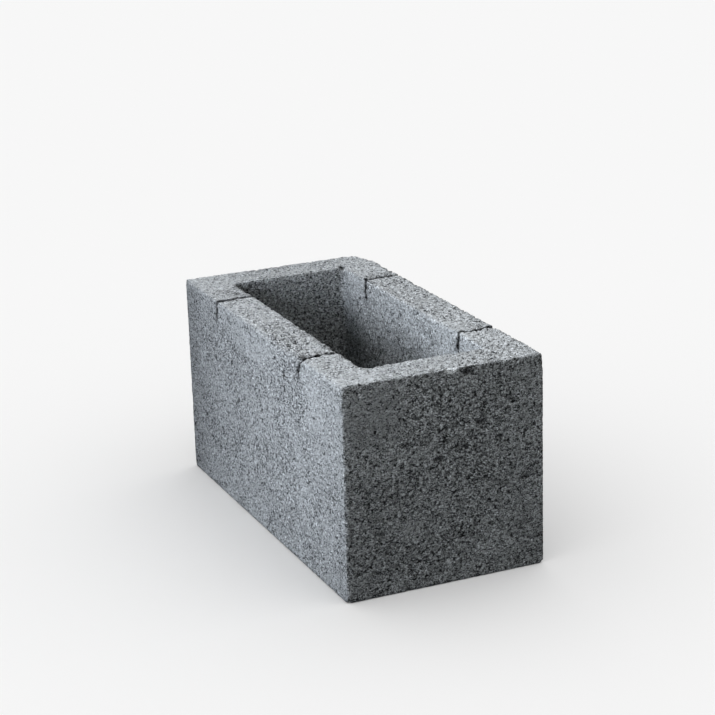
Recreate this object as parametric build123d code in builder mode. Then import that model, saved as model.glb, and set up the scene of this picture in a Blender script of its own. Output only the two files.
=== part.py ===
"""Hollow concrete block with one core and four knock-out slits.

The block is cast in one piece: two long walls and two end walls round a single
core that goes right through. Narrow slits cross the top of both long walls, so
that the stretch of wall between them can be knocked out with a hammer.

Millimetres. X runs along the block, Y across it and Z up. The origin is at the
centre of the underside, on the surface that the block stands on.
"""

import os

from build123d import *

# Outside of the block
block_length = 390.0
block_width = 195.0
block_height = 200.0

# Walls round the core, at their thinnest, which is at the top
side_wall = 38.0
end_wall = 40.0

# The core narrows downwards, so that its former can be drawn out of the block
core_draft = 0.6  # degrees on each wall
core_corner_radius = 5.0

# Slits across both long walls, and the stretch of wall between them
slit_width = 4.0
slit_depth = 20.0
slit_bottom_radius = 1.5
knockout_length = 200.0

# Edges, rounded by the mould and by handling
corner_radius = 1.5
top_edge_radius = 1.2
core_edge_radius = 1.2
bottom_edge_radius = 1.0

core_length = block_length - 2 * end_wall
core_width = block_width - 2 * side_wall
slit_spacing = knockout_length + slit_width


with BuildPart() as concrete_block:
    # Solid body, with its upright corners rounded
    with BuildSketch(Plane.XY):
        RectangleRounded(block_length, block_width, corner_radius)
    extrude(amount=block_height)

    # Core, drawn from its mouth in the top face down through the underside
    with BuildSketch(Plane.XY.offset(block_height)):
        RectangleRounded(core_length, core_width, core_corner_radius)
    extrude(amount=-block_height, taper=core_draft, mode=Mode.SUBTRACT)

    # Edges of the top face, round the outside and round the core's mouth
    top_face = concrete_block.faces().sort_by(Axis.Z)[-1]
    fillet(top_face.outer_wire().edges(), radius=top_edge_radius)
    top_face = concrete_block.faces().sort_by(Axis.Z)[-1]
    fillet(top_face.inner_wires()[0].edges(), radius=core_edge_radius)

    # Edges of the underside
    bottom_face = concrete_block.faces().sort_by(Axis.Z)[0]
    fillet(bottom_face.outer_wire().edges(), radius=bottom_edge_radius)

    # Slits, each one cut across both long walls in one pass
    with BuildSketch(Plane.XZ) as slit_section:
        with Locations((0, block_height)):
            with GridLocations(slit_spacing, 0, 2, 1):
                Rectangle(slit_width, 2 * slit_depth)
        slit_floors = slit_section.vertices().group_by(Axis.Y)[0]
        fillet(slit_floors, radius=slit_bottom_radius)
    extrude(amount=block_width, both=True, mode=Mode.SUBTRACT)

concrete_block.part.label = "concrete_block"

os.makedirs("parts", exist_ok=True)
export_step(concrete_block.part, "parts/concrete_block.step")
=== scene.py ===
"""Finish of the hollow concrete block: open cast faces, worn arrises, chips, ragged slits and the studio."""
from math import cos, radians, sin

import bmesh
import bpy
import numpy as np
from mathutils import Matrix, Vector, noise


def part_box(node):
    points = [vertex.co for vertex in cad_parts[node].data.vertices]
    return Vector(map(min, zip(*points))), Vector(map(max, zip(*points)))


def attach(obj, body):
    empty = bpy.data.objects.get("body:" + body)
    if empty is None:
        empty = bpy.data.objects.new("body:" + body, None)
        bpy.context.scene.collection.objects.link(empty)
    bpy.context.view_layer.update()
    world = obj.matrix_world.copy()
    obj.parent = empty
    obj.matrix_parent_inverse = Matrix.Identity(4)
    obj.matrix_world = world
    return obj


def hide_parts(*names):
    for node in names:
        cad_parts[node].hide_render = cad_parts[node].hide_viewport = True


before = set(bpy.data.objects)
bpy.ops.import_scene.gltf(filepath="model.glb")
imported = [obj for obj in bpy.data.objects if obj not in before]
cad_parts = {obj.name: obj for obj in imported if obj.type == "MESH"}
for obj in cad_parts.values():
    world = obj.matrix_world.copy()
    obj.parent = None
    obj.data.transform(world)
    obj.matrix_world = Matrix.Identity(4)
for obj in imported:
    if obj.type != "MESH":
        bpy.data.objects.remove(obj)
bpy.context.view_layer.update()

block_low, block_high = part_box("concrete_block")

# Sizes of the block that the finish follows, in metres
half_length = block_high.x
half_width = block_high.y
block_height = block_high.z
side_wall = 0.038
end_wall = 0.040
core_half_length = half_length - end_wall
core_half_width = half_width - side_wall
core_play = 0.0022  # the core's walls lie less than this inside its mouth
slit_place = 0.102  # from the middle of the block, along it
slit_width = 0.004
slit_depth = 0.020

# Fineness of the cast surface: the voxels that it is made from, in metres, and the triangles that are left
voxel = 0.0011
surface_triangles = 196000

# Points of the smooth solid that are closer than this are one, and these two keep a division clear of zero
same_point = 1e-6
no_reach = 1e-9
no_area = 1e-12

# The map that the block's faces are laid out on: four rows of faces, with a gap round each
map_gap = 0.004
map_size = 4 * block_height + 5 * map_gap
map_row = [map_gap + row * (block_height + map_gap) for row in range(4)]
turned_away = 0.004  # a triangle that looks the other way counts as twice this farther from a flat face

# How round each top corner is worn, by its place along X and Y, and how far that runs down its arrises
corner_wear = {(1, 1): 0.0037, (1, -1): 0.0026, (-1, -1): 0.0016, (-1, 1): 0.0050}
wear_run = 0.020

# How round the arrises are worn elsewhere, how far that wanders and how far apart its turns are
side_wear, side_wander, side_step = 0.0013, 0.0005, 0.012
end_wear, end_wander, end_step = 0.0012, 0.0004, 0.010
upright_wear, upright_wander, upright_step = 0.0013, 0.0004, 0.012
arris_turns = 600  # more than the longest arris has
first_seed = 10

# The crumbled stretch of the top arris on the left: its middle along X, its reach and how much rounder it is
crumbled_middle = 0.050
crumbled_reach = 0.052
crumbled_wear = 0.0040

# Bites out of the arrises and pits in the faces: the centre of each, and its reach along X, Y and Z
chips = {
    "back corner": ((-0.199, 0.1005, 0.2030), (0.036, 0.0130, 0.0100)),
    "back arris notch": ((-0.127, 0.0985, 0.2012), (0.006, 0.0040, 0.0036)),
    "far rim corner": ((-0.1580, 0.0592, 0.2006), (0.0062, 0.0036, 0.0050)),
    "left rim crumb": ((-0.1420, -0.0585, 0.2010), (0.010, 0.0035, 0.0042)),
    "second rim crumb": ((-0.1240, -0.0590, 0.2012), (0.006, 0.0030, 0.0036)),
    "third rim crumb": ((-0.0700, -0.0594, 0.2010), (0.0034, 0.0024, 0.0030)),
    "fourth rim crumb": ((-0.0200, -0.0594, 0.2008), (0.0030, 0.0022, 0.0028)),
    "fifth rim crumb": ((0.0330, -0.0594, 0.2010), (0.0034, 0.0026, 0.0030)),
    "sixth rim crumb": ((0.0700, -0.0594, 0.2008), (0.0030, 0.0022, 0.0028)),
    "near rim bite": ((0.1390, -0.0590, 0.2012), (0.006, 0.0026, 0.0034)),
    "second near rim bite": ((0.1545, -0.0500, 0.2010), (0.0030, 0.0050, 0.0030)),
    "third near rim bite": ((0.1545, -0.0260, 0.2008), (0.0024, 0.0040, 0.0028)),
    "near slit crumb": ((0.0985, -0.0985, 0.1874), (0.0036, 0.0060, 0.0042)),
    "near slit shoulder": ((0.1010, -0.0975, 0.2010), (0.0070, 0.0065, 0.0056)),
    "near slit bank": ((0.0965, -0.0900, 0.2014), (0.0080, 0.0040, 0.0034)),
    "back arris step": ((-0.1420, 0.0990, 0.2016), (0.0080, 0.0050, 0.0042)),
    "slit rim crumb": ((0.0930, -0.0590, 0.2010), (0.0060, 0.0040, 0.0040)),
    "side pit": ((-0.1168, -0.0978, 0.1384), (0.0040, 0.0022, 0.0022)),
    "second side pit": ((-0.0313, -0.0978, 0.1930), (0.0036, 0.0024, 0.0022)),
    "third side pit": ((-0.0758, -0.0978, 0.1905), (0.0034, 0.0022, 0.0020)),
    "fourth side pit": ((0.0443, -0.0978, 0.1832), (0.0036, 0.0024, 0.0024)),
    "fifth side pit": ((0.0542, -0.0978, 0.1779), (0.0030, 0.0020, 0.0020)),
    "sixth side pit": ((0.0126, -0.0978, 0.0835), (0.0046, 0.0026, 0.0030)),
    "seventh side pit": ((0.0246, -0.0978, 0.0659), (0.0030, 0.0018, 0.0022)),
    "upper arris nick": ((0.1948, -0.0974, 0.1746), (0.0026, 0.0026, 0.0022)),
    "lower arris nick": ((0.1948, -0.0974, 0.1263), (0.0026, 0.0026, 0.0024)),
    "far slit crumb": ((0.0950, 0.0592, 0.1975), (0.0044, 0.0026, 0.0040)),
    "second far slit crumb": ((0.0975, 0.0592, 0.1800), (0.0030, 0.0022, 0.0040)),
    "end pit": ((0.1953, 0.0348, 0.1464), (0.0026, 0.0054, 0.0030)),
    "second end pit": ((0.1953, 0.0402, 0.1406), (0.0020, 0.0034, 0.0022)),
    "third end pit": ((0.1953, 0.0540, 0.1298), (0.0022, 0.0044, 0.0024)),
    "fourth end pit": ((0.1953, -0.0175, 0.1836), (0.0020, 0.0040, 0.0020)),
    "fifth end pit": ((0.1953, -0.0013, 0.1763), (0.0018, 0.0030, 0.0022)),
    "sixth end pit": ((0.1953, -0.0060, 0.1190), (0.0024, 0.0054, 0.0032)),
    "seventh end pit": ((0.1953, -0.0637, 0.0591), (0.0022, 0.0048, 0.0024)),
    "eighth end pit": ((0.1953, 0.0203, 0.1264), (0.0022, 0.0050, 0.0026)),
    "ninth end pit": ((0.1953, 0.0804, 0.0871), (0.0022, 0.0052, 0.0022)),
    "tenth end pit": ((0.1953, -0.0192, 0.0565), (0.0020, 0.0044, 0.0022)),
    "end arris chip": ((0.1965, 0.0245, 0.1950), (0.0044, 0.0066, 0.0046)),
    "end arris bevel": ((0.1980, 0.0070, 0.2030), (0.0070, 0.0085, 0.0072)),
    "near foot": ((0.1965, -0.0990, -0.0010), (0.0060, 0.0060, 0.0050)),
    "far foot": ((-0.1965, -0.0990, -0.0010), (0.0050, 0.0050, 0.0045)),
    "right foot": ((0.1965, 0.0990, -0.0010), (0.0050, 0.0060, 0.0050)),
}

# How knobbly the chips are: the share of their reach, and how many knobs go round
chip_knob = 0.22
chip_knobs = 2.3
chip_spread = 900.0  # sets the knobs of one chip apart from those of the next

# Places that are closer or more open than the rest of their face, in the same two parts as the chips
# The rubbed patch on the near end is closer, and is also painted darker: painted shade.
rubbed_and_shaded_end = ((half_length, -0.068, 0.168), (0.01, 0.034, 0.028))
opened_end = ((half_length, 0.020, 0.152), (0.01, 0.050, 0.032))
pitted_side = ((0.068, -half_width, 0.160), (0.060, 0.01, 0.020))
crumbly_top = ((0.050, -0.088, block_height), (0.044, 0.011, 0.010))
broken_arris = ((half_length, 0.0245, 0.1955), (0.01, 0.0085, 0.0045))
shut_places = {
    "side under its top arris": ((-0.020, -half_width, 0.185), (0.080, 0.01, 0.018)),
    "side towards the near end": ((0.152, -half_width, 0.150), (0.040, 0.01, 0.045)),
    "top at the far left corner": ((-0.170, -0.075, block_height), (0.030, 0.030, 0.01)),
    "top at the near left corner": ((0.180, -0.080, block_height), (0.020, 0.024, 0.01)),
}

# Pale patches, in the same two parts
pale_places = {
    "right arris": ((half_length, 0.094, 0.076), (0.01, 0.007, 0.012)),
    "near the foot": ((half_length, 0.048, 0.027), (0.01, 0.022, 0.007)),
    "streak on the side": ((-0.025, -half_width, 0.174), (0.005, 0.01, 0.010)),
    "lump on the end's top arris": ((half_length, 0.007, block_height), (0.01, 0.007, 0.0045)),
}

# Single pale stones in the near end, in the same two parts
pale_stones = {
    "first": ((half_length, -0.0187, 0.1728), (0.01, 0.0022, 0.0018)),
    "second": ((half_length, 0.0101, 0.1625), (0.01, 0.0022, 0.0018)),
    "third": ((half_length, -0.0797, 0.1893), (0.01, 0.0022, 0.0018)),
    "flake at the top arris": ((0.1930, 0.0070, 0.1975), (0.0040, 0.0065, 0.0030)),
}

# How deep the cast surface goes into the smooth block, and how far its slits spread, in metres
surface_sizes = {
    "Grain Relief": 0.0009,
    "Pit Depth": 0.0020,
    "Top Lumps": 0.0016,
    "Arris Crumble": 0.0020,
    "Slit Spread": 0.0001,
}
# Places sunk into the surface are painted darker the deeper they lie: painted shade, full at this depth.
full_hollow = 0.0022  # a place that lies this deep counts as a full hollow

# The slits on the left: how far aside each starts, and how far it runs aside for each metre down
near_slit_start = 0.0055
near_slit_lean = -0.26
near_slit_bend = -0.80  # on top of its lean, down to the depth of the bend
near_slit_bend_depth = 0.0045
far_slit_start = -0.0030
far_slit_lean = -0.23

# How far the walls of all four slits wander and how ragged they are, in metres from crest to crest
slit_wander = 0.0110
slit_rag = 0.0100

# How squarely a face has to look along an axis to count as an end, a side or the top: not at all, and fully
face_turn = (0.6, 0.85)

# How far in from the outer faces, from the core's mouth and from the top a point still belongs to them
outer_skin = (0.004, 0.008)
rim_band = (0.006, 0.012)
crown_depth = 0.004

# How far from the arrises the face is held and they are worn, and how far round the slits the walls lean
arris_held = 0.006
arris_worn = (0.0005, 0.0045)
beside_slit = (0.003, 0.018)
below_slit = 0.012

# Sizes of what shows in the cast surface, in metres
patch_size = 0.045  # patches that are more open or closer
band_size = 0.010  # level bands that are more open or closer
band_stretch = (8.0, 8.0, 1.0)
pit_size = 0.0044
grain_size = 0.0034
top_lump_size = 0.0080
crumb_size = 0.0052
tooth_size = 0.0034
weak_size = 0.030  # weak and sound stretches of an arris
slit_wander_size = 0.014
slit_rag_size = 0.0040

# Sizes of what shows in the mix, in metres. A shake is the size of the pushes, and how far they reach.
stone_size = 0.0023
stone_shake = (0.0024, 0.0018)
sand_size = 0.0011
sand_shake = (0.0014, 0.0008)
open_size = 0.0027  # places where the gaps between the stones show
strong_size = 0.0052  # places where they are dark
tone_size = 0.008
broad_tone_size = 0.055
mix_stretch = (0.87, 0.74, 1.0)  # under 1 draws the grains out along X and Y

# How high the stones and the sand stand, and how deep what lies between them is, in metres
stone_height = 0.0006
sand_height = 0.00045
gap_depth = 0.0006
sand_gap_depth = 0.0004
fine_depth = 0.0012

# Colour of the mix where its tone is 1, and how much of the light it mirrors
mix_colour = (0.450, 0.470, 0.488)
mix_shine = 0.2

# The camera, in metres and degrees, and its lens and film width, in millimetres
camera_aim = (-0.0135, 0.0100, 0.1510)
camera_distance = 1.982
camera_azimuth = 66.435
camera_elevation = 17.767
camera_roll = -1.75
camera_lens = 104.2
camera_film = 36.0

# Soft lights on the block: where each one stands, its size, its power and its colour
block_lights = {
    "back_softbox": ((-1.93, 0.0, 2.40), 1.6, 106.0, (0.99, 1.0, 1.01)),
    "top_front_softbox": ((1.69, 0.0, 3.725), 1.6, 36.0, (1.0, 1.0, 0.95)),
    "side_lamp": ((0.13, -0.6, 0.33), 0.22, 1.75, (0.96, 1.0, 1.05)),
    "side_softbox": ((0.10, -1.2, 0.62), 0.42, 6.5, (0.93, 1.0, 1.09)),
    "low_fill": ((1.60, -1.05, 0.19), 0.35, 7.3, (0.97, 1.0, 1.02)),
}

# The floor, its light and the room
floor_reach = 6.0
floor_light_spread = 150.0  # degrees
floor_light_power = 3.25
room_tone = (0.9, 0.9, 0.9, 1.0)


class Field:
    """One value in a node tree. Arithmetic on it adds the nodes that work it out."""

    def __init__(self, tree, socket):
        self.tree = tree
        self.socket = socket

    def math(self, operation, *others):
        return work_out(self.tree, operation, self, *others)

    def __add__(self, other):
        return self.math("ADD", other)

    def __radd__(self, other):
        return self.math("ADD", other)

    def __sub__(self, other):
        return self.math("SUBTRACT", other)

    def __rsub__(self, other):
        return work_out(self.tree, "SUBTRACT", other, self)

    def __mul__(self, other):
        return self.math("MULTIPLY", other)

    def __rmul__(self, other):
        return self.math("MULTIPLY", other)

    def __truediv__(self, other):
        return self.math("DIVIDE", other)

    def __abs__(self):
        return self.math("ABSOLUTE")

    def min(self, other):
        return self.math("MINIMUM", other)

    def max(self, other):
        return self.math("MAXIMUM", other)

    def power(self, other):
        return self.math("POWER", other)

    def ramp(self, start, end, low=0.0, high=1.0):
        """Runs smoothly from low at start to high at end, and stays level outside them."""
        node = self.tree.nodes.new("ShaderNodeMapRange")
        node.interpolation_type = "SMOOTHSTEP"
        ends = {"Value": self, "From Min": start, "From Max": end, "To Min": low, "To Max": high}
        for name, value in ends.items():
            plug(self.tree, node.inputs[name], value)
        return Field(self.tree, node.outputs["Result"])


def work_out(tree, operation, *values):
    """A Math node on these values, as a field."""
    node = tree.nodes.new("ShaderNodeMath")
    node.operation = operation
    for slot, value in zip(node.inputs, values):
        plug(tree, slot, value)
    return Field(tree, node.outputs[0])


def plug(tree, slot, value):
    """Links a field or a socket to an input, or sets the input to a plain value."""
    if isinstance(value, Field):
        value = value.socket
    if isinstance(value, bpy.types.NodeSocket):
        tree.links.new(value, slot)
    else:
        slot.default_value = value


def add(tree, kind, settings=None, **inputs):
    """Adds a node, with its settings and its inputs by name."""
    node = tree.nodes.new(kind)
    for name, value in (settings or {}).items():
        setattr(node, name, value)
    for name, value in inputs.items():
        plug(tree, node.inputs[name.replace("_", " ")], value)
    return node


def vector_math(tree, operation, *values):
    """A Vector Math node on these values, as its vector socket."""
    node = add(tree, "ShaderNodeVectorMath", {"operation": operation})
    for slot, value in zip(node.inputs, values):
        plug(tree, slot, value)
    return node.outputs["Vector"]


def axes(tree, vector):
    """The three parts of a vector, as fields."""
    parts = add(tree, "ShaderNodeSeparateXYZ", Vector=vector)
    return [Field(tree, out) for out in parts.outputs]


def clouds(tree, place, size, detail=2.0, roughness=0.5, shift=0.0, stretch=(1.0, 1.0, 1.0)):
    """Soft noise from 0 to 1, with lumps of about this size in metres, times stretch. Shift gives others."""
    shares = tuple(1.0 / share for share in stretch)
    moved = vector_math(tree, "MULTIPLY_ADD", place, shares, (shift, shift * 0.7, -shift * 0.4))
    settings = {"Scale": 1.0 / size, "Detail": detail, "Roughness": roughness}
    node = add(tree, "ShaderNodeTexNoise", Vector=moved, **settings)
    return Field(tree, node.outputs["Fac"])


def shaken(tree, place, size, reach):
    """The same place, pushed about by soft noise, so that what is laid there comes out crooked."""
    push = add(tree, "ShaderNodeTexNoise", Vector=place, Scale=1.0 / size, Detail=1.0)
    return vector_math(tree, "MULTIPLY_ADD", push.outputs["Color"], (reach, reach, reach), place)


def grains(tree, place, size):
    """Grains packed side by side: how far off a grain's edge and middle are, and its own numbers."""
    edge = add(tree, "ShaderNodeTexVoronoi", {"feature": "DISTANCE_TO_EDGE"}, Vector=place, Scale=1.0 / size)
    cell = add(tree, "ShaderNodeTexVoronoi", {"feature": "F1"}, Vector=place, Scale=1.0 / size)
    own = axes(tree, cell.outputs["Color"])
    return Field(tree, edge.outputs["Distance"]), Field(tree, cell.outputs["Distance"]), own


def spot(parts, centre, reach):
    """1 in the middle of a round patch on the block, and 0 outside it."""
    sides = zip(parts, centre, reach)
    along, across, up = [((value - middle) / size).power(2.0) for value, middle, size in sides]
    return (along + across + up).ramp(0.3, 1.6, 1.0, 0.0)


def spots(parts, places):
    """The same for several patches at once: each point counts for the one that it is deepest in."""
    deepest, *others = [spot(parts, centre, reach) for centre, reach in places.values()]
    for patch in others:
        deepest = deepest.max(patch)
    return deepest


def big_pits(tree, place):
    """Noise that sinks into the larger pits, the same in the mesh and in the colour."""
    return clouds(tree, place, pit_size, 1.5, 0.55, shift=3.1)


def studio_camera():
    """Looks down on the near end and the long side, as the photograph does."""
    azimuth = radians(camera_azimuth)
    elevation = radians(camera_elevation)
    data = bpy.data.cameras.new("camera")
    data.lens = camera_lens
    data.sensor_width = camera_film
    camera = bpy.data.objects.new("camera", data)
    bpy.context.scene.collection.objects.link(camera)
    back = Vector((sin(azimuth) * cos(elevation), -cos(azimuth) * cos(elevation), sin(elevation)))
    level = Vector((cos(azimuth), sin(azimuth), 0.0))
    roll = Matrix.Rotation(radians(camera_roll), 3, "Z")
    turn = Matrix((level, back.cross(level), back)).transposed() @ roll
    camera.matrix_world = Matrix.LocRotScale(Vector(camera_aim) + back * camera_distance, turn, None)
    bpy.context.scene.camera = camera


def softbox(name, place, size, power, colour, lit):
    """A square soft light that faces the block and lights only what is in the group it is given."""
    data = bpy.data.lights.new(name, "AREA")
    data.shape = "SQUARE"
    data.size = size
    data.energy = power
    data.color = colour
    light = bpy.data.objects.new(name, data)
    bpy.context.scene.collection.objects.link(light)
    light.location = place
    away = Vector(place) - Vector((0.0, 0.0, block_height / 2))
    light.rotation_euler = away.to_track_quat("Z", "Y").to_euler()
    light.light_linking.receiver_collection = lit


def floor_light(lit):
    """A broad light from above that falls on the floor alone."""
    data = bpy.data.lights.new("floor_light", "SUN")
    data.angle = radians(floor_light_spread)
    data.energy = floor_light_power
    light = bpy.data.objects.new("floor_light", data)
    bpy.context.scene.collection.objects.link(light)
    light.light_linking.receiver_collection = lit


def room():
    """A pale room that only the camera sees."""
    world = bpy.data.worlds.new("studio")
    world.use_nodes = True
    world.node_tree.nodes["Background"].inputs["Color"].default_value = room_tone
    world.cycles_visibility.diffuse = False
    world.cycles_visibility.glossy = False
    world.cycles_visibility.transmission = False
    world.cycles_visibility.scatter = False
    bpy.context.scene.world = world


def studio(block, ground):
    """Five soft lights for the block, one for the floor, and the room."""
    lit_block = bpy.data.collections.new("lit block")
    lit_block.objects.link(block)
    lit_floor = bpy.data.collections.new("lit floor")
    lit_floor.objects.link(ground)
    for name, (place, size, power, colour) in block_lights.items():
        softbox(name, place, size, power, colour, lit_block)
    floor_light(lit_floor)
    bpy.context.scene.view_settings.view_transform = "Standard"
    room()


def floor():
    """A plain pale floor that throws no light back at the block."""
    corners = [(-1, -1), (1, -1), (1, 1), (-1, 1)]
    mesh = bpy.data.meshes.new("floor")
    mesh.from_pydata([(x * floor_reach, y * floor_reach, 0) for x, y in corners], [], [(0, 1, 2, 3)])
    ground = bpy.data.objects.new("floor", mesh)
    bpy.context.scene.collection.objects.link(ground)
    paint = bpy.data.materials.new("pale floor")
    paint.use_nodes = True
    shader = paint.node_tree.nodes["Principled BSDF"]
    shader.inputs["Base Color"].default_value = room_tone
    shader.inputs["Roughness"].default_value = 1.0
    shader.inputs["Specular IOR Level"].default_value = 0.0
    mesh.materials.append(paint)
    ground.visible_diffuse = False
    ground.visible_glossy = False
    return ground


def plain_mesh(holder):
    """What the holder shows with its modifiers, as a mesh of its own."""
    holder_seen = holder.evaluated_get(bpy.context.evaluated_depsgraph_get())
    return bpy.data.meshes.new_from_object(holder_seen)


def settle(holder):
    """Makes what the holder shows its own mesh, and takes its modifiers away."""
    settled = plain_mesh(holder)
    holder.modifiers.clear()
    holder.data = settled
    return settled


def chip_lumps():
    """One mesh of knobbly lumps, which is cut out of the smooth block."""
    shell = bmesh.new()
    for centre, reach in chips.values():
        lump = bmesh.ops.create_icosphere(shell, subdivisions=3, radius=1.0)
        for vertex in lump["verts"]:
            rise = noise.noise(vertex.co * chip_knobs + Vector(centre) * chip_spread)
            knob = 1.0 + chip_knob * rise
            vertex.co = [middle + size * knob * part for middle, size, part in zip(centre, reach, vertex.co)]
    mesh = bpy.data.meshes.new("chip_lumps")
    shell.to_mesh(mesh)
    shell.free()
    return mesh


def smooth_block():
    """The smooth solid with its chips cut out, as one closed mesh of small squares."""
    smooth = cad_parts["concrete_block"].data.copy()
    shell = bmesh.new()
    shell.from_mesh(smooth)
    bmesh.ops.remove_doubles(shell, verts=shell.verts, dist=same_point)
    shell.to_mesh(smooth)
    shell.free()
    smooth.materials.clear()
    work = bpy.data.objects.new("cast_block", smooth)
    lumps = bpy.data.objects.new("chip_lumps", chip_lumps())
    for part in (work, lumps):
        bpy.context.scene.collection.objects.link(part)
    cut = work.modifiers.new("chips", "BOOLEAN")
    cut.operation = "DIFFERENCE"
    cut.solver = "EXACT"
    cut.use_self = True
    cut.object = lumps
    cells = work.modifiers.new("cells", "REMESH")
    cells.mode = "VOXEL"
    cells.voxel_size = voxel
    cells.use_smooth_shade = True
    settle(work)
    bpy.data.objects.remove(lumps)
    return work


def eased(share):
    """A share from 0 to 1 that starts and ends gently."""
    return share * share * (3.0 - 2.0 * share)


def drift(values, step, seed):
    """Smooth random values from -1 to 1 along an arris, with turns about a step apart."""
    random = np.random.default_rng(seed)
    turns = random.uniform(-1.0, 1.0, arris_turns)
    place = values / step + arris_turns / 2
    left = np.floor(place).astype(int)
    share = eased(place - left)
    return turns[left] * (1.0 - share) + turns[left + 1] * share


def fade(distance, reach):
    """1 where there is no distance, falling smoothly to 0 at reach."""
    return eased(np.clip(1.0 - distance / reach, 0.0, 1.0))


def round_arris(points, across, up, radius):
    """Wears one arris round. across and up are its faces: axis, sign and place. Each point has its radius."""
    first = (across[2] - radius) - across[1] * points[:, across[0]]
    second = (up[2] - radius) - up[1] * points[:, up[0]]
    reach = np.hypot(first, second)
    worn = (first < 0) & (second < 0) & (reach > radius)
    share = np.where(worn, radius / np.maximum(reach, no_reach), 1.0)
    for (axis, sign, face), depth in ((across, first), (up, second)):
        kept = face - radius - depth * share
        points[:, axis] = np.where(worn, sign * kept, points[:, axis])


def round_corner(points, corner, radius):
    """Wears one top corner round, and gives the points back."""
    along, across = corner
    centre = np.array([along * (half_length - radius), across * (half_width - radius), block_height - radius])
    out = (points - centre) * np.array([along, across, 1])
    reach = np.linalg.norm(out, axis=1)
    worn = (out > 0).all(axis=1) & (reach > radius)
    share = np.where(worn, radius / np.maximum(reach, no_reach), 1.0)
    return np.where(worn[:, None], centre + (points - centre) * share[:, None], points)


def wear_arrises(mesh):
    """Rounds the arrises and corners unevenly, as handling does. An arris widens into its corners."""
    points = np.empty(len(mesh.vertices) * 3)
    mesh.vertices.foreach_get("co", points)
    points = points.reshape(-1, 3)
    x, y, z = points.T.copy()
    top = (2, 1, block_height)
    seed = first_seed
    for sign in (-1, 1):
        crumbled = np.exp(-((x - crumbled_middle) / crumbled_reach) ** 4) * (sign < 0)
        side_radius = side_wear + side_wander * drift(x, side_step, seed) + crumbled_wear * crumbled
        end_radius = end_wear + end_wander * drift(y, end_step, seed + 1)
        for other in (-1, 1):
            corner = corner_wear[(other, sign)]
            to_corner = fade(half_length - other * x - corner, wear_run)
            side_radius = side_radius + (corner - side_radius) * to_corner
            corner = corner_wear[(sign, other)]
            to_corner = fade(half_width - other * y - corner, wear_run)
            end_radius = end_radius + (corner - end_radius) * to_corner
            upright = upright_wear + upright_wander * drift(z, upright_step, seed + 4)
            to_corner = fade(block_height - z - corner, wear_run)
            upright = upright + (corner - upright) * to_corner
            round_arris(points, (0, sign, half_length), (1, other, half_width), upright)
        round_arris(points, (1, sign, half_width), top, side_radius)
        round_arris(points, (0, sign, half_length), top, end_radius)
        seed += 2
    for corner, radius in corner_wear.items():
        points = round_corner(points, corner, radius)
    mesh.vertices.foreach_set("co", points.ravel())


class SmoothPoint:
    """Where each point of the smooth block lies on it and which way its face looks, as fields."""

    def __init__(self, tree):
        self.tree = tree
        self.place = tree.nodes.new("GeometryNodeInputPosition").outputs[0]
        self.normal = tree.nodes.new("GeometryNodeInputNormal").outputs["Normal"]
        self.parts = axes(tree, self.place)
        x, y, z = self.parts
        nx, ny, nz = axes(tree, self.normal)

        # How far each point is from the outer faces, from the core's mouth and from the nearest arris
        to_end = half_length - abs(x)
        to_side = half_width - abs(y)
        to_bed = (block_height - z).min(z)
        self.below_top = block_height - z
        self.to_outside = to_end.min(to_side)
        self.to_face = self.to_outside.min(to_bed)
        self.from_core = (abs(x) - core_half_length).max(abs(y) - core_half_width)
        outer_arris = self.to_outside.max(to_end.max(to_side).min(to_bed))
        core_arris = abs(self.from_core).max(self.below_top)
        self.arris = outer_arris.min(core_arris)
        self.core_rim = abs(self.from_core).ramp(*rim_band, 1.0, 0.0)

        # Which face it is on
        self.crown = self.below_top.ramp(0.0, crown_depth, 1.0, 0.0)
        self.outside = self.to_outside.ramp(*outer_skin, 1.0, 0.0)
        self.inside = 1.0 - self.outside
        self.long_side = abs(ny).ramp(*face_turn)
        self.end_face = abs(nx).ramp(*face_turn)
        self.top_face = nz.ramp(*face_turn) * self.crown
        self.rubbed_and_shaded = spot(self.parts, *rubbed_and_shaded_end)

        # Where it is from the slits: along the block, and whether it is at their height
        self.from_slit = abs(x) - slit_place
        self.slit_height = (z - (block_height - slit_depth - below_slit)).ramp(0.0, below_slit)


def how_open(at):
    """How open the surface is, from 0 to 1: the ends most, and the sides of the core least."""
    patchy = clouds(at.tree, at.place, patch_size, 2.0, 0.5).ramp(0.36, 0.64)
    bands = clouds(at.tree, at.place, band_size, 2.0, 0.5, 1.7, band_stretch)
    openness = 0.36 + 0.22 * patchy - 0.06 * at.top_face
    openness = openness + at.end_face * at.outside * (0.13 + 0.4 * (bands - 0.5))
    openness = openness - 0.15 * at.long_side * at.inside - 0.10 * at.long_side * at.outside
    openness = openness - 0.32 * at.rubbed_and_shaded - 0.26 * spots(at.parts, shut_places)
    openness = openness + 0.10 * spot(at.parts, *opened_end) + 0.24 * spot(at.parts, *pitted_side)
    openness = openness + 0.30 * spot(at.parts, *crumbly_top) + 0.6 * spot(at.parts, *broken_arris)
    return openness.max(0.0).min(1.0)


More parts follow.
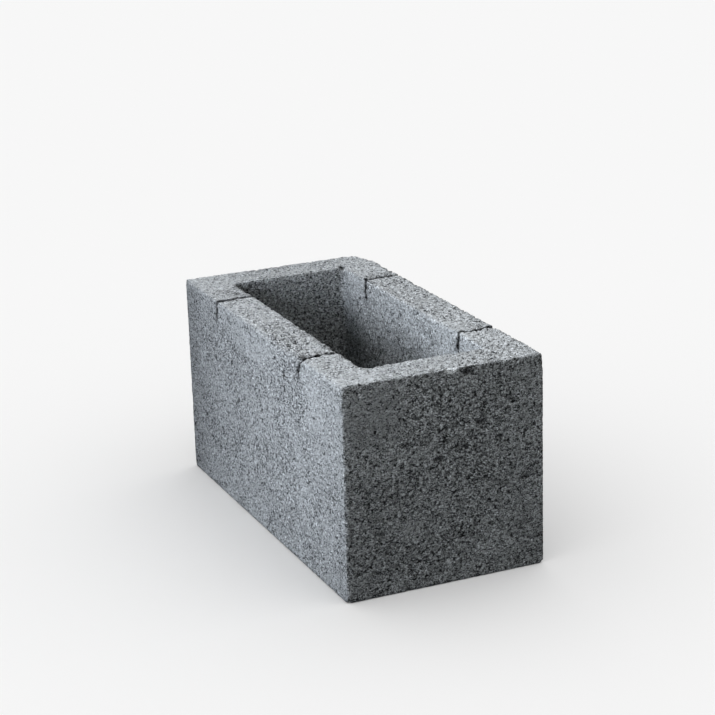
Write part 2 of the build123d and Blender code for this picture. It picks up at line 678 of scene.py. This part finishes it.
def pressed_depth(at, openness, named):
    """How deep gaps and hollows sink into the surface, which stays on the mould's plane between them."""
    tree = at.tree
    place = at.place
    pits = big_pits(tree, place).ramp(0.72 - 0.15 * openness, 0.81 - 0.11 * openness)
    grain = clouds(tree, place, grain_size, 2.0, 0.6, shift=8.0).ramp(0.36, 0.56, 1.0, 0.0)
    lumpy = clouds(tree, place, top_lump_size, 2.5, 0.65, shift=15.0).ramp(0.30, 0.56, 1.0, 0.0)
    held = at.arris.ramp(0.0, arris_held, 0.45, 1.0)
    depth = named["Grain Relief"] * grain * (0.3 + openness) * (1.0 - 0.35 * at.end_face * at.outside)
    depth = depth + named["Top Lumps"] * lumpy * (0.12 + 0.88 * at.top_face) * (0.5 + openness)
    depth = depth * held + named["Pit Depth"] * pits * (0.6 + 0.4 * openness)
    worn = at.arris.ramp(*arris_worn, 1.0, 0.0)
    return depth + arris_crumbs(at, worn, named) + rim_teeth(at, worn, named)


def arris_crumbs(at, worn, named):
    """Crumbs lost from the arrises: fewer round the core, and most along the arris at +Y."""
    crumble = clouds(at.tree, at.place, crumb_size, 2.0, 0.6, shift=7.7).ramp(0.46, 0.66)
    weak = clouds(at.tree, at.place, weak_size, 1.0, 0.5, shift=4.4).ramp(0.35, 0.65, 0.25, 1.0)
    far_arris = (at.parts[1] - half_width).ramp(-0.006, -0.003)
    where = 1.2 - 0.85 * at.core_rim + 0.6 * far_arris
    return named["Arris Crumble"] * worn * crumble * weak * (0.15 + 0.85 * at.crown) * where


def rim_teeth(at, worn, named):
    """Small teeth lost from the core's rim, all along its left and on part of its near end."""
    x, y, _ = at.parts
    teeth = clouds(at.tree, at.place, tooth_size, 1.5, 0.6, shift=2.9).ramp(0.50, 0.62)
    left_rim = abs(y + core_half_width).ramp(0.005, 0.010, 1.0, 0.0)
    left_rim = left_rim * abs(x).ramp(core_half_length - 0.012, core_half_length - 0.004, 1.0, 0.0)
    near_rim = abs(x - core_half_length).ramp(0.005, 0.010, 1.0, 0.0) * at.core_rim
    near_rim = near_rim * y.ramp(-0.050, -0.015, 1.0, 0.0)
    return named["Arris Crumble"] * worn * teeth * at.crown * left_rim.max(near_rim) * 1.1


def slit_shift(at, named):
    """How far the slits' walls stand aside along X. The two on the left lean, and all four are ragged."""
    tree = at.tree
    x, y, z = at.parts
    side_of_middle = x.math("SIGN")
    beside = abs(at.from_slit).ramp(*beside_slit, 1.0, 0.0)
    on_left = (-1.0 * y).ramp(half_width - side_wall, half_width)
    bend = at.below_top.min(near_slit_bend_depth) * near_slit_bend
    near_lean = bend + at.below_top * near_slit_lean + near_slit_start
    far_lean = at.below_top * far_slit_lean + far_slit_start
    lean = near_lean * side_of_middle.max(0.0) - far_lean * side_of_middle.min(0.0)
    lean = lean * beside * at.slit_height * on_left
    across_slit = add(tree, "ShaderNodeCombineXYZ", X=side_of_middle * 3.0, Y=y, Z=z).outputs[0]
    wander = clouds(tree, across_slit, slit_wander_size, 2.0, 0.5, shift=9.0) - 0.5
    wander = wander * slit_wander * beside * at.slit_height
    wall = abs(at.from_slit).ramp(slit_width * 0.5, slit_width * 1.2, 1.0, 0.0) * at.slit_height
    ragged = (clouds(tree, at.place, slit_rag_size, 2.0, 0.6, shift=12.0) - 0.5) * slit_rag * wall
    spread = at.from_slit.math("SIGN") * side_of_middle * wall * named["Slit Spread"]
    return lean + (wander + ragged + spread)


def mix_tint_and_painted_light(at):
    """How pale the mix is painted, by its face and its place on it: mostly painted light and shade."""
    x, y, z = at.parts
    # Painted light: the top is paler, more so towards its right rim, and the core's long walls much paler.
    tint_and_painted_light = 1.0 + 0.05 * at.top_face + 0.14 * at.top_face * y.ramp(0.045, 0.070)
    tint_and_painted_light = tint_and_painted_light + 0.42 * at.long_side * at.inside
    # Painted shade: all but the top darkens towards the far end.
    tint_and_painted_light = tint_and_painted_light - 0.17 * x.ramp(-half_length, -0.130, 1.0, 0.0) * (1.0 - at.top_face)
    # Painted light: the outer long sides are paler away from their ends.
    tint_and_painted_light = tint_and_painted_light + 0.12 * at.long_side * at.outside * abs(x).ramp(0.090, 0.180, 1.0, 0.0)
    # Painted shade: the outer long sides darken low down towards the near end.
    low_near_end = z.ramp(0.0, 0.090, 1.0, 0.0) * x.ramp(-0.050, 0.120)
    tint_and_painted_light = tint_and_painted_light - 0.12 * at.long_side * at.outside * low_near_end
    # Painted light and shade on the outer ends: paler towards the top, darker towards -Y.
    upwards = z.ramp(0.0, block_height, -0.06, 0.15)
    rightwards = y.ramp(-half_width, 0.020, -0.09, 0.0)
    tint_and_painted_light = tint_and_painted_light + at.end_face * at.outside * (upwards + rightwards)
    # Painted light: the core's end walls are paler. Painted shade: the rubbed patch is darker.
    return tint_and_painted_light + 0.14 * at.end_face * at.inside - 0.20 * at.rubbed_and_shaded


def what_mix_reads(at, openness, depth):
    """What the material reads at each point, by the name it is kept under."""
    sunk = at.to_face.min(abs(at.from_core) - core_play).max(0.0)
    # Painted shade: the slits' walls and floors, and chips and pits sunk into the faces, are painted darker.
    hole = sunk.ramp(0.0004, 0.0014) * at.arris.ramp(0.003, 0.006)
    recess_shade = abs(at.from_slit).ramp(slit_width * 0.45, slit_width * 0.70, 1.0, 0.0)
    recess_shade = recess_shade * at.slit_height * at.below_top.ramp(0.0005, 0.003)
    patchy = clouds(at.tree, at.place, slit_rag_size, 1.0, 0.5, shift=6.0).ramp(0.34, 0.56, 0.45, 1.0)
    return {
        "smooth_place": at.place,
        "openness": openness,
        # painted shade in the hollows of the cast surface and in sunk chips and pits
        "hollow_shade": ((depth + sunk) / full_hollow).min(1.0),
        "recess_shade": (recess_shade * patchy).max(hole),
        "sandy": at.long_side * (1.0 + 0.4 * at.inside) + at.end_face * 2.3,
        "tint_and_painted_light": mix_tint_and_painted_light(at),
    }


def surface_tree(finish):
    """The cast surface, pressed into the smooth block along its normals."""
    tree = bpy.data.node_groups.new("cast surface", "GeometryNodeTree")
    tree.is_modifier = True
    face = tree.interface
    face.new_socket("Geometry", in_out="INPUT", socket_type="NodeSocketGeometry")
    for name, value in surface_sizes.items():
        face.new_socket(name, in_out="INPUT", socket_type="NodeSocketFloat").default_value = value
    face.new_socket("Geometry", in_out="OUTPUT", socket_type="NodeSocketGeometry")
    start = tree.nodes.new("NodeGroupInput")
    named = {name: Field(tree, start.outputs[name]) for name in surface_sizes}

    at = SmoothPoint(tree)
    openness = how_open(at)
    depth = pressed_depth(at, openness, named)
    flow = start.outputs["Geometry"]
    for name, value in what_mix_reads(at, openness, depth).items():
        kind = {"data_type": "FLOAT" if isinstance(value, Field) else "FLOAT_VECTOR"}
        keep = add(tree, "GeometryNodeStoreNamedAttribute", kind, Geometry=flow, Name=name, Value=value)
        flow = keep.outputs["Geometry"]

    inwards = add(tree, "ShaderNodeVectorMath", {"operation": "SCALE"})
    plug(tree, inwards.inputs[0], at.normal)
    plug(tree, inwards.inputs["Scale"], depth * -1.0)
    aside = add(tree, "ShaderNodeCombineXYZ", X=slit_shift(at, named))
    shift = vector_math(tree, "ADD", inwards.outputs[0], aside.outputs[0])
    moved = add(tree, "GeometryNodeSetPosition", Geometry=flow, Offset=shift)
    real = add(tree, "GeometryNodeRealizeInstances", Geometry=moved.outputs["Geometry"])
    dressed = add(tree, "GeometryNodeSetMaterial", Geometry=real.outputs["Geometry"], Material=finish)
    end = tree.nodes.new("NodeGroupOutput")
    tree.links.new(dressed.outputs[0], end.inputs[0])
    return tree


def keep_in_box(mesh):
    """Presses every point that stands out of the mould's faces back onto them."""
    points = np.empty(len(mesh.vertices) * 3)
    mesh.vertices.foreach_get("co", points)
    points = np.clip(points.reshape(-1, 3), np.array(block_low), np.array(block_high))
    mesh.vertices.foreach_set("co", points.ravel())


def flat_faces():
    """The block's flat faces: the way each looks, its middle, its size and its lower left map corner."""
    length = 2 * half_length
    width = 2 * half_width
    core_length = 2 * core_half_length
    core_width = 2 * core_half_width
    height = block_height
    middle = height / 2
    faces = []

    def lay(left, low, out, centre, wide, high):
        """Lays one face down, and says where the next one to its right starts."""
        faces.append((np.array(out, float), np.array(centre, float), wide, high, left, low))
        return left + wide + map_gap

    second = lay(map_gap, map_row[0], (0, -1, 0), (0, -half_width, middle), length, height)
    lay(map_gap, map_row[1], (0, 1, 0), (0, half_width, middle), length, height)
    lay(map_gap, map_row[2], (0, 0, 1), (0, 0, height), length, width)
    lay(map_gap, map_row[3], (0, 0, -1), (0, 0, 0), length, width)
    beside = lay(second, map_row[0], (0, -1, 0), (0, core_half_width, middle), core_length, height)
    lay(second, map_row[1], (0, 1, 0), (0, -core_half_width, middle), core_length, height)
    next_end = lay(second, map_row[2], (1, 0, 0), (half_length, 0, middle), width, height)
    lay(next_end, map_row[2], (-1, 0, 0), (-half_length, 0, middle), width, height)
    next_end = lay(second, map_row[3], (-1, 0, 0), (core_half_length, 0, middle), core_width, height)
    lay(next_end, map_row[3], (1, 0, 0), (-core_half_length, 0, middle), core_width, height)

    low = map_gap
    wall_middle = (core_half_width + half_width) / 2
    for along in (-slit_place, slit_place):
        for across in (-wall_middle, wall_middle):
            for side in (-1, 1):
                slit_wall = (along + side * slit_width / 2, across, height - slit_depth / 2)
                lay(beside, low, (-side, 0, 0), slit_wall, side_wall, slit_depth)
                low += slit_depth + map_gap
            slit_floor = (along, across, height - slit_depth)
            lay(beside, low, (0, 0, 1), slit_floor, slit_width, side_wall)
            low += side_wall + map_gap
    return faces


def lay_flat(mesh):
    """Gives the block its map: each flat face keeps its shape and has a place of its own."""
    places = np.empty(len(mesh.vertices) * 3)
    mesh.attributes["smooth_place"].data.foreach_get("vector", places)
    corners = np.empty(len(mesh.loops), int)
    mesh.loops.foreach_get("vertex_index", corners)
    corners = places.reshape(-1, 3)[corners].reshape(-1, 3, 3)
    centres = corners.mean(axis=1)
    facing = np.cross(corners[:, 1] - corners[:, 0], corners[:, 2] - corners[:, 0])
    facing /= np.maximum(np.linalg.norm(facing, axis=1, keepdims=True), no_area)
    laid = np.zeros((len(corners), 3, 2))
    nearest = np.full(len(corners), np.inf)
    for out, middle, wide, high, left, low in flat_faces():
        up = np.array((0.0, 1.0, 0.0) if out[2] else (0.0, 0.0, 1.0))
        across = np.cross(up, out)
        away = centres - middle
        beyond_side = np.maximum(abs(away @ across) - wide / 2, 0.0)
        beyond_top = np.maximum(abs(away @ up) - high / 2, 0.0)
        distance = np.sqrt((away @ out) ** 2 + beyond_side ** 2 + beyond_top ** 2)
        distance = distance + turned_away * (1.0 - facing @ out)
        here = distance < nearest
        nearest[here] = distance[here]
        laid[here, :, 0] = (corners[here] - middle) @ across + wide / 2 + left
        laid[here, :, 1] = (corners[here] - middle) @ up + high / 2 + low
    mesh.uv_layers.new(name="OFBake").uv.foreach_set("vector", (laid / map_size).ravel())


def block_piece(finish):
    """The block with its cast surface, made from the smooth solid."""
    work = smooth_block()
    wear_arrises(work.data)
    cast = work.modifiers.new("cast", "NODES")
    cast.node_group = surface_tree(finish)
    rough = settle(work)
    thinned = work.modifiers.new("thinned", "DECIMATE")
    thinned.ratio = surface_triangles / (2 * len(rough.polygons))
    thinned.use_collapse_triangulate = True
    final = settle(work)
    keep_in_box(final)
    lay_flat(final)
    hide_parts("concrete_block")
    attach(work, "root")
    return work


def attribute(tree, name, vector=False):
    """An attribute of the mesh, as a field, or as a vector socket."""
    node = add(tree, "ShaderNodeAttribute", {"attribute_name": name})
    return node.outputs["Vector"] if vector else Field(tree, node.outputs["Fac"])


class Mix:
    """What the concrete's colour and relief are worked out from, as fields."""

    def __init__(self, tree):
        self.tree = tree
        smooth_place = attribute(tree, "smooth_place", True)
        self.parts = axes(tree, smooth_place)
        self.place = vector_math(tree, "MULTIPLY", smooth_place, mix_stretch)
        self.openness = attribute(tree, "openness")
        self.hollow_shade = attribute(tree, "hollow_shade")
        self.recess_shade = attribute(tree, "recess_shade")
        self.sandy = attribute(tree, "sandy")
        self.tint_and_painted_light = attribute(tree, "tint_and_painted_light")

        # Stones and sand, packed side by side and crooked
        crooked = shaken(tree, self.place, *stone_shake)
        self.edge, self.stone_middle, self.stone_own = grains(tree, crooked, stone_size)
        crooked = shaken(tree, self.place, *sand_shake)
        self.fine_edge, self.sand_middle, self.sand_own = grains(tree, crooked, sand_size)
        self.fine_cloud = self.clouds(sand_size, 2.0, 0.6, 5.0)

        # Gaps where the mix stayed open, lost sand and stones, and the larger pits
        openness = self.openness
        eased_by = 0.14 * openness
        open_here = self.clouds(open_size, 2.0, 0.6, 21.0).ramp(0.60 - eased_by, 0.66 - eased_by)
        strong = self.clouds(strong_size, 1.0, 0.5, 33.0).ramp(0.38, 0.58, 0.45, 1.0)
        self.gaps = self.edge.ramp(0.10, 0.20, 1.0, 0.0) * strong * open_here
        loose = 0.26 * openness + 0.03 * self.sandy
        sand_heart = self.sand_middle.ramp(0.40, 0.55, 1.0, 0.0)
        self.sand_gaps = self.sand_own[1].ramp(0.93 - loose, 0.95 - loose) * sand_heart
        stone_heart = self.stone_middle.ramp(0.28, 0.40, 1.0, 0.0)
        lost = 0.28 * openness
        self.lost_stone_shade = self.stone_own[2].ramp(0.985 - lost, 0.995 - lost) * stone_heart
        self.pits = big_pits(tree, smooth_place).ramp(0.71 - 0.15 * openness, 0.77 - 0.13 * openness)

        # Pale patches and single pale stones
        self.chalky = spots(self.parts, pale_places)
        self.pale = spots(self.parts, pale_stones)

    def clouds(self, size, detail, roughness, shift=0.0):
        """Soft noise at this place in the mix."""
        return clouds(self.tree, self.place, size, detail, roughness, shift)


def mix_tone(mix):
    """Tone of the mix, of each stone and of its sand, from pale stones to gaps with painted shade."""
    tone = 0.94 + 0.12 * mix.clouds(broad_tone_size, 2.0, 0.5)
    tone = tone * (0.92 + 0.16 * mix.clouds(tone_size, 2.0, 0.6, 2.0))
    tone = tone * (0.90 + 0.20 * mix.stone_own[0])
    busy = 0.62 + 0.95 * mix.openness
    tone = tone * (1.0 + busy * (0.66 + 0.18 * mix.sandy) * (mix.sand_own[0] - 0.5))
    tone = tone * (1.0 + busy * (1.02 + 0.36 * mix.sandy) * (mix.fine_cloud - 0.5))
    # Painted shade and light: darker towards the far end, paler towards the near end.
    tone = tone * mix.tint_and_painted_light * mix.parts[0].ramp(-half_length, half_length, 0.90, 1.08)
    pale_stone = mix.stone_own[1].ramp(0.955, 0.985) * mix.stone_middle.ramp(0.30, 0.45, 1.0, 0.0)
    pale_sand = mix.sand_own[2].ramp(0.92 - 0.30 * mix.chalky, 0.94 - 0.30 * mix.chalky)
    pale_sand = pale_sand * mix.sand_middle.ramp(0.40, 0.55, 1.0, 0.0)
    tone = tone * (1.0 + 0.35 * pale_stone + 0.38 * pale_sand + 0.20 * mix.chalky)
    # Painted shade: the gaps, the sand's gaps, the larger pits and the holes of lost stones are darkened.
    tone = tone * (1.0 - 0.92 * mix.gaps * (1.0 - mix.pale))
    tone = tone * (1.0 - 0.86 * mix.sand_gaps) * (1.0 - 0.60 * mix.pits)
    tone = tone * (1.0 - 0.80 * mix.lost_stone_shade * (1.0 - mix.pale))
    tone = tone * (1.0 + 0.60 * mix.pale)
    # Painted shade: hollows, slits and sunk chips and pits are darkened.
    return tone * (1.0 - 0.35 * mix.hollow_shade) * (1.0 - 0.62 * mix.recess_shade)


def mix_relief(mix):
    """How far the mix stands out, in metres: round stones and sand with gaps between them."""
    relief = stone_height * mix.edge.ramp(0.0, 0.35) * (0.4 + mix.openness) * (1.0 - 0.15 * mix.sandy)
    relief = relief - gap_depth * mix.gaps - sand_gap_depth * mix.sand_gaps
    return relief + sand_height * mix.fine_edge.ramp(0.0, 0.35) - fine_depth * mix.fine_cloud


def concrete():
    """Grey cast concrete: packed grains of many tones, with painted shade in the gaps where the mix stayed
    open.
    """
    finish = bpy.data.materials.new("cast concrete")
    finish.use_nodes = True
    tree = finish.node_tree
    shader = tree.nodes["Principled BSDF"]
    mix = Mix(tree)
    tone = mix_tone(mix)
    colour = add(tree, "ShaderNodeCombineColor")
    for slot, share in zip(colour.inputs, mix_colour):
        plug(tree, slot, tone * share)
    tree.links.new(colour.outputs[0], shader.inputs["Base Color"])
    plug(tree, shader.inputs["Roughness"], 0.90 + 0.08 * mix.fine_cloud)
    shader.inputs["Specular IOR Level"].default_value = mix_shine
    bump = add(tree, "ShaderNodeBump", Height=mix_relief(mix), Distance=1.0, Strength=1.0)
    tree.links.new(bump.outputs[0], shader.inputs["Normal"])
    return finish


studio_camera()
studio(block_piece(concrete()), floor())
